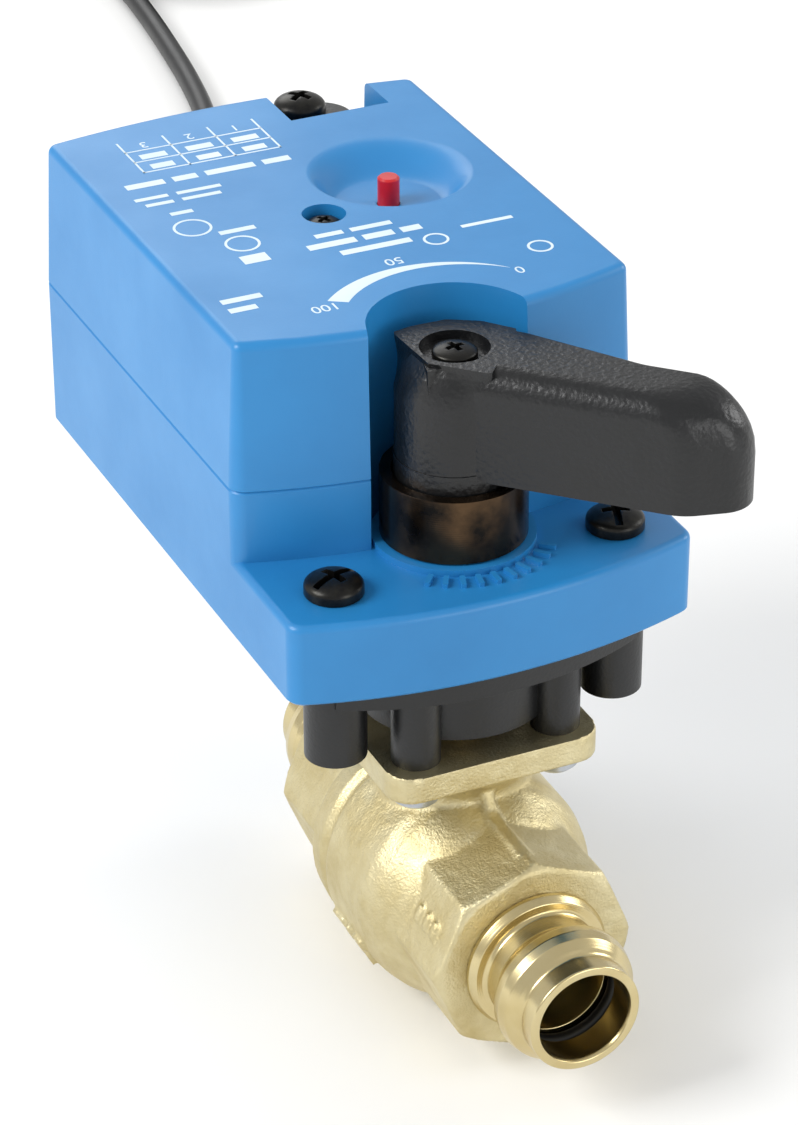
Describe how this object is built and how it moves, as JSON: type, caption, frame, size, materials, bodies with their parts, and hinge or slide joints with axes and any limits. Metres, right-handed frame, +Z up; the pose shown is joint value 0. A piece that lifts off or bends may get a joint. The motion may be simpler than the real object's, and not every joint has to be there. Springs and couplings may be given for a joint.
{
  "type": "motorized valve actuator",
  "caption": "Blue motorized quarter-turn actuator with a black position lever, bracketed on a brass two-way ball valve with press ends, and a free cable.",
  "frame": {"origin": "centre of the front press socket, at its mouth, on the pipe axis", "axes": "+Y along the pipe axis from the front socket into the valve, +Z up along the stem towards the lever, +X to the right seen from the front socket"},
  "size_m": [0.2192, 0.54, 0.1249],
  "materials": {
    "housing_blue": "moulded, fine sheen",
    "black_nylon": "grained",
    "screw_black": "black oxide",
    "steel": "zinc plated",
    "motor_steel": "satin",
    "bronze": "sintered",
    "dark_bronze": "darkened and satin",
    "acetal": "natural",
    "gear_brass": "cut",
    "red_plastic": "moulded",
    "board_green": "solder mask",
    "part_black": "moulded",
    "header_white": "moulded",
    "wire": "wire insulation; one conductor each in black, red and white",
    "brass_forged": "forged, sand textured",
    "brass_turned": "turned and satin",
    "chromed": "polished",
    "ptfe": "turned",
    "seal_rubber": "moulded",
    "cable_sheath": "satin sheath"
  },
  "bodies": {
    "housing": {"lower_housing": "housing_blue", "upper_housing": "housing_blue", "cover_screw": "screw_black", "housing_screws": "screw_black", "front_screws": "screw_black", "gear_plate": "steel", "plate_screws": "steel", "gear_axles": "steel", "lower_bush": "bronze", "upper_bush": "bronze", "button_spring": "steel", "motor_gearhead": "motor_steel", "motor_can": "motor_steel", "motor_screws": "steel", "circuit_board": "board_green", "capacitor": "part_black", "board_parts": "part_black", "wire_header": "header_white", "inner_wires": "wire", "mounting_bracket": "black_nylon", "bracket_screws": "steel", "rear_washer": "screw_black", "rear_screw": "screw_black", "valve_body": "brass_forged", "end_cap": "brass_forged", "cap_o_ring": "seal_rubber", "ball_seats": "ptfe", "thrust_washer": "ptfe", "front_press_end": "brass_turned", "rear_press_end": "brass_turned", "press_o_rings": "seal_rubber", "cable_gland": "black_nylon", "cable": "cable_sheath", "cable_coil": "cable_sheath", "cable_tie": "header_white", "cable_leads": "wire"},
    "output": {"output_coupler": "dark_bronze", "coupler_clip": "screw_black", "sector_gear": "acetal", "lever": "black_nylon", "lever_screw": "screw_black", "stem": "brass_turned", "stem_o_rings": "seal_rubber", "ball": "chromed"},
    "wheel_1": {"wheel_1": "acetal"},
    "wheel_2": {"wheel_2": "acetal"},
    "release": {"release_button": "red_plastic", "release_shaft": "steel", "shaft_clip": "screw_black"},
    "clutch": {"clutch_wheel": "gear_brass"},
    "rotor": {"motor_pinion": "gear_brass"}
  },
  "joints": [
    {"name": "output_turn", "type": "hinge", "parent": "housing", "child": "output", "pos_m": [0, 0.0505, 0], "axis": [0, 0, 1], "range_deg": [-90, 0]},
    {"name": "wheel_1_spin", "type": "hinge", "parent": "housing", "child": "wheel_1", "pos_m": [0.00607, 0.07619, 0], "axis": [0, 0, 1], "range_deg": [0, 405]},
    {"name": "wheel_2_spin", "type": "hinge", "parent": "housing", "child": "wheel_2", "pos_m": [0.00918, 0.08933, 0], "axis": [0, 0, 1], "range_deg": [-810, 0]},
    {"name": "button_press", "type": "slide", "parent": "housing", "child": "release", "axis": [0, 0, -1], "range_m": [0, 0.0022], "stiffness_N_per_m": 900, "springref_m": -0.001, "deforming": ["button_spring"]},
    {"name": "clutch_spin", "type": "hinge", "parent": "release", "child": "clutch", "pos_m": [0.01228, 0.10247, 0], "axis": [0, 0, 1], "range_deg": [0, 1620]},
    {"name": "motor_spin", "type": "hinge", "parent": "housing", "child": "rotor", "pos_m": [0.00329, 0.11115, 0], "axis": [0, 0, 1], "range_deg": [-6480, 0]}
  ],
  "couplings": [
    {"joint": "wheel_1_spin", "follows": "output_turn", "ratio": -4.5},
    {"joint": "wheel_2_spin", "follows": "output_turn", "ratio": 9},
    {"joint": "clutch_spin", "follows": "output_turn", "ratio": -18},
    {"joint": "motor_spin", "follows": "output_turn", "ratio": 72}
  ]
}
